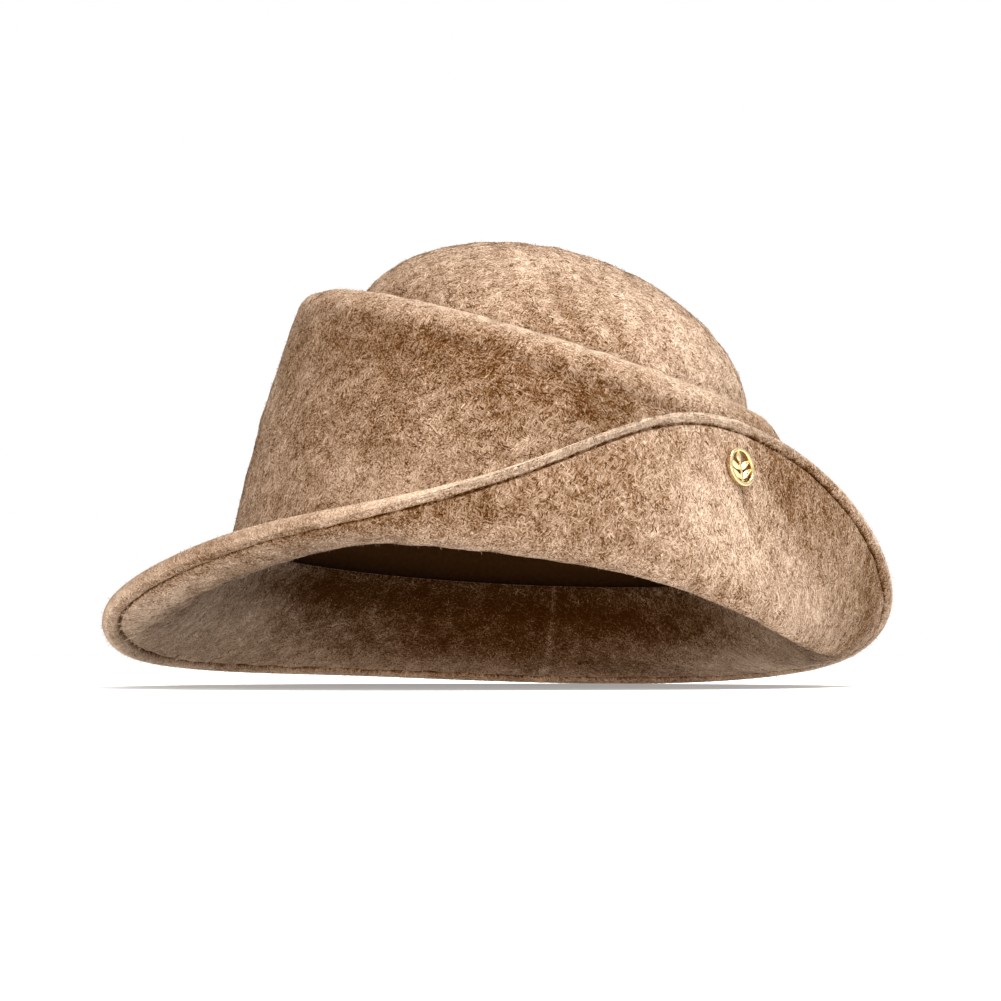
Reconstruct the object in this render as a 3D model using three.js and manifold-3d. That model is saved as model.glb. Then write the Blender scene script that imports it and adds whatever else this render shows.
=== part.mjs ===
// Hat of long-piled felt, in millimetres with +Z up, worn facing -Y.
// A domed top leans down to the wearer's left and rises out of a crown side whose
// top edge is folded over. The brim droops at the back and is turned up at the
// front left, where a small pierced emblem is fastened through the felt.
// Turns are counted from +X, the wearer's left, over +Y, the back.
import * as THREE from 'three';
import { mergeVertices } from 'three/addons/utils/BufferGeometryUtils.js';
import Module from 'manifold-3d';

const wasm = await Module();
wasm.setup();

const fullTurn = 2 * Math.PI;
const quarterTurn = Math.PI / 2;
const degrees = THREE.MathUtils.degToRad;

// Felt, band and fits
const feltWall = 2.4;
const bandWall = 1.4;
const bandHeight = 32;
const pieceGap = 0.3;
const facets = 72;

// Place of the hat so that its box stands centred on the origin
const standing = new THREE.Vector3(-0.41, -4.51, 0.27);

// Where crown and brim meet: an ellipse, measured outside the felt, in a sloping plane
const base = { x: 2, y: 0, halfWidth: 86, halfDepth: 105, height: 39.5, slopeX: -0.05, slopeY: -0.06 };

// Crown top: half an ellipsoid that leans towards +X, with its rim tucked under the fold
const dome = {
  x: 14.3, y: 3.5, z: 94.5, halfWidth: 64.8, halfDepth: 80, rise: 41.6,
  lean: degrees(17.3), rimAngle: degrees(-8), steps: 8,
};

// Crown side: the wall swells outwards between its base and the fold
const side = { swell: 1.5, creaseGap: 0.5, wallSteps: 5, foldSteps: 4 };

// Fold along the top of the crown side, measured from the dome: how far out and at
// what height it starts, the same at its top, and the height of the crease inside it
const foldTable = aroundTable(
  ['startOut', 'startHeight', 'topOut', 'topHeight', 'creaseHeight'],
  [
    [12.4, -1.3, 3.2, 8.9, 4.6], // left
    [13.0, -1.5, 3.6, 9.0, 4.6], // back
    [16.3, -1.6, 3.6, 8.3, 4.2], // right
    [10.5, -2.4, 3.2, 8.2, 4.0], // front
  ],
);

// Brim: each section is a cubic curve from the crown base over a neck and a roll
// to the edge, given by distances out from the base ellipse and heights
const brimTable = aroundTable(
  ['edgeOut', 'edgeHeight', 'neckOut', 'neckHeight', 'rollOut', 'rollHeight'],
  [
    [34.3, 31.8, 7.9, 10.0, 18.9, -4.1], // left
    [37.6, 12.9, 6.0, 8.0, 19.4, 2.6],
    [40.7, 4.9, 7.1, 11.1, 22.6, 3.5],
    [43.4, 1.9, 8.6, 15.7, 26.2, 3.3],
    [44.2, 2.4, 9.7, 20.5, 28.3, 4.0], // back
    [44.0, 4.6, 10.1, 24.2, 28.8, 5.2],
    [43.0, 6.1, 10.1, 26.1, 28.0, 6.7],
    [40.3, 9.2, 9.5, 26.3, 26.5, 8.0],
    [39.4, 14.5, 8.3, 26.2, 25.5, 14.7], // right
    [41.6, 27.4, 7.8, 30.9, 27.2, 15.4],
    [38.4, 40.7, 8.0, 31.4, 30.3, 33.4],
    [39.2, 50.0, 9.4, 40.5, 32.7, 40.0],
    [30.6, 61.8, 11.4, 38.0, 34.0, 31.0], // front
    [19.4, 77.0, 12.9, 29.6, 33.0, 18.1],
    [14.5, 75.3, 15.0, 21.7, 31.0, -7.3],
    [22.6, 59.2, 11.5, 9.3, 22.0, -10.2],
  ],
);
const brim = {
  bendSteps: 7,
  hemWidth: 6, // from the brim's edge to the stitch line
  hemHalf: 2.2, // half the thickness of the doubled edge
  hemSteps: 5,
};

// Emblem: a ring round a pierced sprig of leaves, with a post through the felt to a
// back washer, all soldered. Its own axes are +X across, +Y to the brim's edge and
// +Z out of the felt, from the middle of its back.
const emblem = {
  turn: degrees(308.8),
  along: 0.935, // place on the brim's section, 0 at the crown and 1 at the edge
  radius: 5.8,
  rimWidth: 1.2,
  rimThickness: 1.6,
  rimRound: 0.35,
  rimFacets: 24,
  sprigThickness: 1.1,
  stemWidth: 0.8,
  leafWidth: 1.9,
  leafRise: degrees(34),
  leafPlaces: [-3.6, -0.9], // where the pairs of leaves leave the stem
  topLeafPlace: 1.2,
  leafFacets: 4,
  postRadius: 0.7,
  postFacets: 10,
  washerRadius: 2.6,
  washerThickness: 0.6,
  faceGap: 0.35,
  backGap: 0.5,
};

// A smooth periodic curve through the rows of a table at equal turns: a cubic spline
// whose control values are found by repeated averaging
function aroundTable(columns, rows) {
  const passes = 60;
  const count = rows.length;
  let control = rows;
  for (let pass = 0; pass < passes; pass += 1) {
    const last = control;
    control = rows.map((row, i) => row.map((value, c) => (
      (6 * value - last[(i + 1) % count][c] - last[(i + count - 1) % count][c]) / 4
    )));
  }
  return (turn) => {
    const place = ((turn / (2 * Math.PI)) * count + count) % count;
    const row = Math.floor(place);
    const s = place - row;
    const shares = [
      (1 - s) ** 3 / 6,
      (3 * s ** 3 - 6 * s ** 2 + 4) / 6,
      (-3 * s ** 3 + 3 * s ** 2 + 3 * s + 1) / 6,
      s ** 3 / 6,
    ];
    const valueOf = (c) => shares.reduce((sum, share, k) => (
      sum + share * control[(row + k - 1 + count) % count][c]
    ), 0);
    return Object.fromEntries(columns.map((name, c) => [name, valueOf(c)]));
  };
}

// Evenly spaced numbers from start to end, both included
function spaced(start, end, steps) {
  return Array.from({ length: steps + 1 }, (_, i) => start + ((end - start) * i) / steps);
}

// Height of the plane in which crown and brim meet
function baseHeight(x, y) {
  return base.height + base.slopeX * (x - base.x) + base.slopeY * (y - base.y);
}

// Point of the base ellipse set in by a distance, and the way out from it
function baseRing(turn, inset) {
  const x = base.x + (base.halfWidth - inset) * Math.cos(turn);
  const y = base.y + (base.halfDepth - inset) * Math.sin(turn);
  const out = new THREE.Vector3(
    base.halfDepth * Math.cos(turn), base.halfWidth * Math.sin(turn), 0,
  ).normalize();
  return { point: new THREE.Vector3(x, y, baseHeight(x, y)), out };
}

// From the leaning dome's own axes to the hat's
function leaning(across, back, up) {
  const cos = Math.cos(dome.lean);
  const sin = Math.sin(dome.lean);
  return new THREE.Vector3(
    dome.x + across * cos + up * sin,
    dome.y + back,
    dome.z - across * sin + up * cos,
  );
}

// Dome surface at an angle above its rim plane, set in by a distance
function domePoint(turn, angle, inset) {
  const level = Math.cos(angle);
  return leaning(
    (dome.halfWidth - inset) * level * Math.cos(turn),
    (dome.halfDepth - inset) * level * Math.sin(turn),
    (dome.rise - inset) * Math.sin(angle),
  );
}

// Point a distance out from the dome's surface at a height in its own axes
function besideDome(turn, out, height) {
  const level = height > 0 ? Math.sqrt(1 - (height / dome.rise) ** 2) : 1;
  return leaning(
    (dome.halfWidth * level + out) * Math.cos(turn),
    (dome.halfDepth * level + out) * Math.sin(turn),
    height,
  );
}

// Crown side wall, 0 at the base to 1 at the start of the fold
function wallPoint(turn, share, inset) {
  const { point, out } = baseRing(turn, inset);
  const fold = foldTable(turn);
  const top = besideDome(turn, fold.startOut - inset, fold.startHeight);
  return point.lerp(top, share).addScaledVector(out, side.swell * Math.sin(Math.PI * share));
}

// Fold from the wall over its top, two quarters of ellipses that end in the crease
function foldPoint(turn, share) {
  const fold = foldTable(turn);
  const risen = Math.min(share, 1) * quarterTurn;
  const sunk = Math.max(share - 1, 0) * quarterTurn * 0.9;
  const out = share <= 1
    ? fold.topOut + (fold.startOut - fold.topOut) * Math.cos(risen)
    : fold.topOut - (fold.topOut - side.creaseGap) * Math.sin(sunk);
  const height = share <= 1
    ? fold.startHeight + (fold.topHeight - fold.startHeight) * Math.sin(risen)
    : fold.creaseHeight + (fold.topHeight - fold.creaseHeight) * Math.cos(sunk);
  return besideDome(turn, out, height);
}

// Middle of the brim's felt, 0 at the crown to 1 at the edge
function brimMiddle(turn, share) {
  const row = brimTable(turn);
  const { point, out } = baseRing(turn, feltWall / 2);
  const rest = 1 - share;
  const shares = [rest ** 3, 3 * share * rest ** 2, 3 * share ** 2 * rest, share ** 3];
  const outward = shares[1] * row.neckOut + shares[2] * row.rollOut + shares[3] * row.edgeOut;
  const height = shares[0] * point.z + shares[1] * row.neckHeight
    + shares[2] * row.rollHeight + shares[3] * row.edgeHeight;
  return new THREE.Vector3(point.x, point.y, height).addScaledVector(out, outward);
}

// Directions of the brim's felt at a point: along the section, and out of its underside
function brimFrame(turn, share) {
  const step = 1e-3;
  const along = brimMiddle(turn, share + step).sub(brimMiddle(turn, share - step));
  const round = brimMiddle(turn + step, share).sub(brimMiddle(turn - step, share));
  const under = round.clone().cross(along).normalize();
  const speed = along.length() / (2 * step);
  return { point: brimMiddle(turn, share), along: along.normalize(), under, speed };
}

// A closed mesh made of one section per facet of a turn. A section runs up the outside
// and down the inside. It closes on itself, or begins and ends on the hat's axis.
function carriedRound(sectionAt, closes) {
  const sections = Array.from({ length: facets }, (_, i) => sectionAt((i / facets) * fullTurn));
  const count = sections[0].length;
  const spans = closes ? count : count - 1;
  const index = [];
  for (let i = 0; i < facets; i += 1) {
    const here = i * count;
    const next = ((i + 1) % facets) * count;
    for (let j = 0; j < spans; j += 1) {
      const k = (j + 1) % count;
      index.push(here + j, next + j, next + k, here + j, next + k, here + k);
    }
  }
  const geometry = new THREE.BufferGeometry();
  const places = sections.flat().flatMap((point) => point.toArray());
  geometry.setAttribute('position', new THREE.Float32BufferAttribute(places, 3));
  geometry.setIndex(index);
  return withoutSlivers(mergeVertices(geometry));
}

// Leaves out the triangles that have shrunk to a line where a section meets the axis
function withoutSlivers(geometry) {
  const corners = Array.from(geometry.index.array);
  const kept = [];
  for (let i = 0; i < corners.length; i += 3) {
    const [a, b, c] = corners.slice(i, i + 3);
    if (a !== b && b !== c && c !== a) kept.push(a, b, c);
  }
  geometry.setIndex(kept);
  return geometry;
}

// Solid of a closed mesh for joining and cutting, and back again
function toSolid(geometry) {
  const bare = geometry.clone();
  bare.deleteAttribute('normal');
  bare.deleteAttribute('uv');
  const merged = withoutSlivers(mergeVertices(bare));
  return new wasm.Manifold(new wasm.Mesh({
    numProp: 3,
    vertProperties: new Float32Array(merged.attributes.position.array),
    triVerts: new Uint32Array(merged.index.array),
  }));
}

function fromSolid(solid) {
  const mesh = solid.getMesh();
  const geometry = new THREE.BufferGeometry();
  geometry.setAttribute('position', new THREE.BufferAttribute(mesh.vertProperties, 3));
  geometry.setIndex(new THREE.BufferAttribute(mesh.triVerts, 1));
  return geometry;
}

function domeSection(turn) {
  const angles = spaced(dome.rimAngle, quarterTurn, dome.steps);
  const outside = angles.map((angle) => domePoint(turn, angle, 0));
  const inside = angles.map((angle) => domePoint(turn, angle, feltWall));
  return [...inside.reverse(), ...outside];
}

function sideSection(turn) {
  const { wallSteps, foldSteps } = side;
  const fold = foldTable(turn);
  const foot = (inset) => wallPoint(turn, 0, inset).setZ(wallPoint(turn, 0, inset).z + pieceGap / 2);
  const outside = spaced(0, 1, wallSteps).slice(1).map((share) => wallPoint(turn, share, 0));
  const over = spaced(0, 1, foldSteps).slice(1).map((share) => foldPoint(turn, share));
  const down = spaced(1, 2, foldSteps - 1).slice(1).map((share) => foldPoint(turn, share));
  const lip = besideDome(turn, side.creaseGap, fold.startHeight + feltWall);
  const under = besideDome(turn, fold.topOut + feltWall, fold.startHeight + feltWall);
  const inside = spaced(0, 1, wallSteps).slice(1).map((share) => wallPoint(turn, share, feltWall));
  return [foot(0), ...outside, ...over, ...down, lip, under, ...inside.reverse(), foot(feltWall)];
}

function brimSection(turn) {
  const foot = (inset) => {
    const { point } = baseRing(turn, inset);
    return point.setZ(point.z - pieceGap / 2);
  };
  const edge = brimFrame(turn, 1);
  const hemStart = 1 - brim.hemWidth / edge.speed;
  const face = (share, half, sign) => {
    const frame = brimFrame(turn, share);
    return frame.point.addScaledVector(frame.under, sign * half);
  };
  const bends = spaced(0, hemStart, brim.bendSteps).slice(1);
  const hem = [[0.4, 0.8], [0.75, 1]].map(([part, swelling]) => ({
    share: hemStart + (1 - hemStart) * part,
    half: THREE.MathUtils.lerp(feltWall / 2, brim.hemHalf, swelling),
  }));
  const flank = (sign) => [
    ...bends.map((share) => face(share, feltWall / 2, sign)),
    ...hem.map(({ share, half }) => face(share, half, sign)),
  ];
  const round = spaced(quarterTurn, -quarterTurn, brim.hemSteps).map((angle) => edge.point.clone()
    .addScaledVector(edge.along, brim.hemHalf * (Math.cos(angle) - 1))
    .addScaledVector(edge.under, brim.hemHalf * Math.sin(angle)));
  return [foot(feltWall), ...flank(1), ...round, ...flank(-1).reverse(), foot(0)];
}

function bandSection(turn) {
  const outer = feltWall + pieceGap;
  const length = wallPoint(turn, 1, 0).distanceTo(wallPoint(turn, 0, 0));
  const shares = spaced(0.005, bandHeight / length, 2);
  const outside = shares.map((share) => wallPoint(turn, share, outer));
  const inside = shares.map((share) => wallPoint(turn, share, outer + bandWall));
  return [...outside, ...inside.reverse()];
}

// Outline of a leaf from its foot at the origin to its tip along +X
function leafShape(length) {
  const shape = new THREE.Shape();
  shape.quadraticCurveTo(length * 0.45, -emblem.leafWidth, length, 0);
  shape.quadraticCurveTo(length * 0.45, emblem.leafWidth, 0, 0);
  return shape;
}

// Leaf from a place on the stem, long enough to end inside the rim
function leaf(place, rise) {
  const reach = emblem.radius - emblem.rimWidth / 2;
  const climb = place * Math.sin(rise);
  const length = Math.sqrt(climb ** 2 + reach ** 2 - place ** 2) - climb;
  const flat = new THREE.ExtrudeGeometry(leafShape(length), {
    depth: emblem.sprigThickness, bevelEnabled: false, curveSegments: emblem.leafFacets,
  });
  return flat.rotateZ(rise).translate(0, place, 0);
}

function rimGeometry() {
  const { radius, rimWidth, rimThickness, rimRound, rimFacets } = emblem;
  const inner = radius - rimWidth;
  const corners = [
    [inner, 0],
    [radius, 0],
    [radius, rimThickness - rimRound],
    [radius - rimRound, rimThickness],
    [inner + rimRound, rimThickness],
    [inner, rimThickness - rimRound],
    [inner, 0],
  ];
  const profile = corners.map(([x, y]) => new THREE.Vector2(x, y));
  return new THREE.LatheGeometry(profile, rimFacets).rotateX(quarterTurn);
}

function roundBar(radius, from, to) {
  const bar = new THREE.CylinderGeometry(radius, radius, to - from, emblem.postFacets);
  return bar.rotateX(quarterTurn).translate(0, 0, (from + to) / 2);
}

const washerFront = -(emblem.faceGap + feltWall + emblem.backGap);

function emblemGeometry() {
  const { radius, rimWidth, stemWidth, sprigThickness, leafRise } = emblem;
  const stemLength = 2 * radius - rimWidth;
  const stem = new THREE.BoxGeometry(stemWidth, stemLength, sprigThickness);
  const pieces = [
    rimGeometry(),
    stem.translate(0, 0, sprigThickness / 2),
    leaf(emblem.topLeafPlace, quarterTurn),
    ...emblem.leafPlaces.flatMap((place) => [
      leaf(place, leafRise),
      leaf(place, Math.PI - leafRise),
    ]),
    roundBar(emblem.postRadius, washerFront - emblem.washerThickness / 2, sprigThickness / 2),
    roundBar(emblem.washerRadius, washerFront - emblem.washerThickness, washerFront),
  ];
  return fromSolid(pieces.map(toSolid).reduce((whole, piece) => whole.add(piece)));
}

// Place of the emblem's own axes on the underside of the brim
function emblemPlace() {
  const { point, along, under } = brimFrame(emblem.turn, emblem.along);
  const across = along.clone().cross(under);
  return new THREE.Matrix4()
    .makeBasis(across, along, under)
    .setPosition(point.addScaledVector(under, feltWall / 2 + emblem.faceGap));
}

function brimGeometry() {
  const whole = toSolid(carriedRound(brimSection, true));
  const hole = roundBar(emblem.postRadius + pieceGap, 2 * washerFront, -washerFront);
  return fromSolid(whole.subtract(toSolid(hole.applyMatrix4(emblemPlace()))));
}

const felt = (color) => new THREE.MeshStandardMaterial({ color, roughness: 0.95, metalness: 0 });
const camelFelt = felt(0xb99a7c);
const bandCloth = new THREE.MeshStandardMaterial({ color: 0x4a3423, roughness: 0.8, metalness: 0 });
const gilt = new THREE.MeshStandardMaterial({ color: 0xcaa650, roughness: 0.25, metalness: 1 });

function named(name, geometry, material) {
  const mesh = new THREE.Mesh(geometry, material);
  mesh.name = name;
  return mesh;
}

const hat = new THREE.Group();
hat.add(named('crown_dome', carriedRound(domeSection, false), camelFelt));
hat.add(named('crown_side', carriedRound(sideSection, true), camelFelt));
hat.add(named('brim', brimGeometry(), camelFelt));
hat.add(named('sweatband', carriedRound(bandSection, true), bandCloth));

const badge = named('emblem', emblemGeometry(), gilt);
badge.applyMatrix4(emblemPlace());
hat.add(badge);
hat.position.copy(standing);

export default hat;
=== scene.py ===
import bpy
import numpy as np
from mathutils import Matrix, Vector


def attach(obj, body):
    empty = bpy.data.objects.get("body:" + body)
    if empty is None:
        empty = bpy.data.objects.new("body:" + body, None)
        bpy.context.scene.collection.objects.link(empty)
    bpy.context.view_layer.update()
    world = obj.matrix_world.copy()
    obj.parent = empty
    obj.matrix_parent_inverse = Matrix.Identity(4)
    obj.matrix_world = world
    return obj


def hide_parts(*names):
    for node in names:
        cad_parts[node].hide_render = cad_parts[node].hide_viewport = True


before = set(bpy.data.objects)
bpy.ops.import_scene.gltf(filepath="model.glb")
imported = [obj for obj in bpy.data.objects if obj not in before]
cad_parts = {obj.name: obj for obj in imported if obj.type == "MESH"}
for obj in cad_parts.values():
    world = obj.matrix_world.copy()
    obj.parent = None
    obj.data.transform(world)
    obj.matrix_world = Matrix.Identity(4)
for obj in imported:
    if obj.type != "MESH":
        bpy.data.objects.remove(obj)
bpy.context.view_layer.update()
print("frame loaded")

fullTurn = 2 * np.pi
quarterTurn = np.pi / 2
tiny = 1e-12
hatPlace = dict(metre=0.001, standing=np.array([-0.41, -4.51, 0.27]))

# Felt and fits, as in the solids
felt = dict(wall=2.4, gap=0.3)
base = dict(x=2, y=0, halfWidth=86, halfDepth=105, height=39.5, slopeX=-0.05, slopeY=-0.06)
dome = dict(x=14.3, y=3.5, z=94.5, halfWidth=64.8, halfDepth=80, rise=41.6,
            lean=np.radians(17.3), rimAngle=np.radians(-8), rows=64)
side = dict(swell=1.5, creaseGap=0.5, creaseShare=0.9, wallRows=46, foldRows=16)

foldRows = [  # startOut, startHeight, topOut, topHeight, creaseHeight
    [12.4, -1.3, 3.2, 8.9, 4.6],  # left
    [13.0, -1.5, 3.6, 9.0, 4.6],  # back
    [16.3, -1.6, 3.6, 8.3, 4.2],  # right
    [10.5, -2.4, 3.2, 8.2, 4.0],  # front
]

brimRows = [  # edgeOut, edgeHeight, neckOut, neckHeight, rollOut, rollHeight
    [34.3, 31.8, 7.9, 10.0, 18.9, -4.1],  # left
    [37.6, 12.9, 6.0, 8.0, 19.4, 2.6],
    [40.7, 4.9, 7.1, 11.1, 22.6, 3.5],
    [43.4, 1.9, 8.6, 15.7, 26.2, 3.3],
    [44.2, 2.4, 9.7, 20.5, 28.3, 4.0],  # back
    [44.0, 4.6, 10.1, 24.2, 28.8, 5.2],
    [43.0, 6.1, 10.1, 26.1, 28.0, 6.7],
    [40.3, 9.2, 9.5, 26.3, 26.5, 8.0],
    [39.4, 14.5, 8.3, 26.2, 25.5, 14.7],  # right
    [41.6, 27.4, 7.8, 30.9, 27.2, 15.4],
    [38.4, 40.7, 8.0, 31.4, 30.3, 33.4],
    [39.2, 50.0, 9.4, 40.5, 32.7, 40.0],
    [30.6, 61.8, 11.4, 38.0, 34.0, 31.0],  # front
    [19.4, 77.0, 12.9, 29.6, 33.0, 18.1],
    [14.5, 75.3, 15.0, 21.7, 31.0, -7.3],
    [22.6, 59.2, 11.5, 9.3, 22.0, -10.2],
]
splinePasses = 60


# A smooth periodic curve through table rows at equal turns: a cubic spline whose control
# values come from repeated averaging. Gives an array with the table's columns last.
def aroundTable(rows):
    values = np.asarray(rows, float)
    count = len(values)
    control = values
    for _ in range(splinePasses):
        control = (6 * values - np.roll(control, 1, 0) - np.roll(control, -1, 0)) / 4

    def at(turn):
        place = (turn / fullTurn * count) % count
        row = np.floor(place).astype(int)
        s = (place - row)[..., None]
        shares = [(1 - s) ** 3, 3 * s ** 3 - 6 * s ** 2 + 4, -3 * s ** 3 + 3 * s ** 2 + 3 * s + 1, s ** 3]
        return sum(share / 6 * control[(row + k - 1) % count] for k, share in enumerate(shares))

    return at


foldAt = aroundTable(foldRows)
brimAt = aroundTable(brimRows)


# Vectors along the last axis divided by their lengths
def unit(vectors):
    return vectors / (np.linalg.norm(vectors, axis=-1, keepdims=True) + tiny)


waveMix = dict(count=16, rates=(0.6, 1.5), strength=1.2)


# Smooth random waves over space: a sum of cosines with wavelengths near size, about
# -1.5 to 1.5. Also gives its slope, scaled by size.
def makeWaves(size, seed):
    rng = np.random.default_rng(seed)
    count = waveMix["count"]
    ways = unit(rng.normal(size=(count, 3)))
    ways = ways * (fullTurn / size * rng.uniform(*waveMix["rates"], (count, 1)))
    starts = rng.uniform(0, fullTurn, count)
    scale = np.sqrt(waveMix["strength"] / count)

    def waves(points):
        return np.cos(points @ ways.T + starts).sum(-1) * scale

    def slope(points):
        return -(np.sin(points @ ways.T + starts) @ ways) * scale * size / fullTurn

    return waves, slope


# Base ellipse set in by a distance: its points, and the level way out from them
def baseRing(turn, inset):
    x = base["x"] + (base["halfWidth"] - inset) * np.cos(turn)
    y = base["y"] + (base["halfDepth"] - inset) * np.sin(turn)
    z = base["height"] + base["slopeX"] * (x - base["x"]) + base["slopeY"] * (y - base["y"])
    out = np.stack([base["halfDepth"] * np.cos(turn), base["halfWidth"] * np.sin(turn), 0 * turn], -1)
    return np.stack([x, y, z], -1), unit(out)


# From the leaning dome's own axes to the hat's: turned by the lean about the line from front to
# back, and moved to the middle of the dome
def leaning(across, back, up):
    cos, sin = np.cos(dome["lean"]), np.sin(dome["lean"])
    return np.stack([dome["x"] + across * cos + up * sin, dome["y"] + back,
                     dome["z"] - across * sin + up * cos], -1)


# Half ellipsoid at an angle above its rim plane, set in by a distance
def domePoint(turn, angle, inset):
    level = np.cos(angle)
    return leaning((dome["halfWidth"] - inset) * level * np.cos(turn),
                   (dome["halfDepth"] - inset) * level * np.sin(turn),
                   (dome["rise"] - inset) * np.sin(angle))


# Point a distance out from the dome at a height in its own axes
def besideDome(turn, out, height):
    level = np.where(height > 0, np.sqrt(1 - np.clip(height / dome["rise"], 0, 1) ** 2), 1)
    return leaning((dome["halfWidth"] * level + out) * np.cos(turn),
                   (dome["halfDepth"] * level + out) * np.sin(turn), height)


# Crown side wall: a straight line from the base, 0, to the fold, 1, swollen outwards by a sine
def wallPoint(turn, share, inset):
    foot, out = baseRing(turn, inset)
    row = foldAt(turn)
    top = besideDome(turn, row[..., 0] - inset, row[..., 1])
    share = share[..., None]
    return foot + (top - foot) * share + out * side["swell"] * np.sin(np.pi * share)


# Fold: a quarter ellipse up from the wall, 0 to 1, and one down into the crease, 1 to 2
def foldPoint(turn, share):
    startOut, startHeight, topOut, topHeight, creaseHeight = np.moveaxis(foldAt(turn), -1, 0)
    risen = np.clip(share, 0, 1) * quarterTurn
    sunk = np.clip(share - 1, 0, 1) * quarterTurn * side["creaseShare"]
    out = np.where(share <= 1, topOut + (startOut - topOut) * np.cos(risen),
                   topOut - (topOut - side["creaseGap"]) * np.sin(sunk))
    height = np.where(share <= 1, startHeight + (topHeight - startHeight) * np.sin(risen),
                      creaseHeight + (topHeight - creaseHeight) * np.cos(sunk))
    return besideDome(turn, out, height)


# Middle of the brim's felt: a cubic curve out from the base, 0, over a neck and a roll to
# the edge, 1
def brimMiddle(turn, share):
    edgeOut, edgeHeight, neckOut, neckHeight, rollOut, rollHeight = np.moveaxis(brimAt(turn), -1, 0)
    foot, out = baseRing(turn, felt["wall"] / 2)
    rest = 1 - share
    shares = [rest ** 3, 3 * share * rest ** 2, 3 * share ** 2 * rest, share ** 3]
    outward = shares[1] * neckOut + shares[2] * rollOut + shares[3] * edgeOut
    height = (shares[0] * foot[..., 2] + shares[1] * neckHeight + shares[2] * rollHeight
              + shares[3] * edgeHeight)
    level = np.stack([foot[..., 0], foot[..., 1], height], -1)
    return level + out * outward[..., None]


# Way along the brim's section, way out of its underside, and length per unit of share, from
# points a small step to either side
def brimFrame(turn, share):
    step = 1e-3
    along = brimMiddle(turn, share + step) - brimMiddle(turn, share - step)
    around = brimMiddle(turn + step, share) - brimMiddle(turn - step, share)
    speed = np.linalg.norm(along, axis=-1) / (2 * step)
    return unit(along), unit(np.cross(around, along)), speed


# Puts arrays into a mesh object: points in millimetres, faces all with the same number of
# corners, one tone value per point and one UV pair per face corner
def meshPiece(name, points, faces, tones=None, uvs=None, smooth=True):
    data = bpy.data.meshes.new(name)
    places = (points.reshape(-1, 3) + hatPlace["standing"]) * hatPlace["metre"]
    corners = faces.shape[1]
    data.vertices.add(len(places))
    data.vertices.foreach_set("co", places.ravel())
    data.loops.add(faces.size)
    data.loops.foreach_set("vertex_index", faces.ravel().astype(np.int32))
    data.polygons.add(len(faces))
    data.polygons.foreach_set("loop_start", np.arange(0, faces.size, corners, dtype=np.int32))
    data.polygons.foreach_set("use_smooth", np.full(len(faces), smooth))
    if tones is not None:
        data.attributes.new("tone", "FLOAT", "POINT").data.foreach_set("value", tones.ravel())
    if uvs is not None:
        data.uv_layers.new(name="UVMap").data.foreach_set("uv", uvs.ravel())
    data.update(calc_edges=True)
    data.validate()
    piece = bpy.data.objects.new(name, data)
    bpy.context.scene.collection.objects.link(piece)
    return piece


# Four-cornered faces of a grid of points, the first axis closed, the second closed or not
def gridFaces(rounds, rows, closesRows=True):
    i = np.arange(rounds)[:, None]
    j = np.arange(rows if closesRows else rows - 1)[None, :]
    nextI, nextJ = (i + 1) % rounds, (j + 1) % rows
    corners = [i * rows + j, nextI * rows + j, nextI * rows + nextJ, i * rows + nextJ]
    return np.stack(np.broadcast_arrays(*corners), -1).reshape(-1, 4)


# Grid of turns and shares as two arrays of the same shape
def spread(rounds, shares):
    turns = np.arange(rounds) / rounds * fullTurn
    return np.meshgrid(turns, np.asarray(shares, float), indexing="ij")


# Unit normals of a grid closed round its first axis: the cross product of its two steps
def gridNormals(points):
    around = np.roll(points, -1, 0) - np.roll(points, 1, 0)
    return unit(np.cross(around, np.gradient(points, axis=1)))


# Shader maths: a Wire wraps a socket, and arithmetic on it, from either side, adds Math nodes
class Wire:
    def __init__(self, finish, socket):
        self.finish = finish
        self.socket = socket

    def math(self, operation, *others):
        return self.finish.node("ShaderNodeMath", {"operation": operation}, self, *others)

    def __add__(self, other):
        return self.math("ADD", other)

    def __sub__(self, other):
        return self.math("SUBTRACT", other)

    def __rsub__(self, other):
        return self.finish.node("ShaderNodeMath", {"operation": "SUBTRACT"}, other, self)

    def __mul__(self, other):
        return self.math("MULTIPLY", other)

    def clamped(self):
        return self.math("MINIMUM", 1.0).math("MAXIMUM", 0.0)

    __radd__ = __add__
    __rmul__ = __mul__


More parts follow.
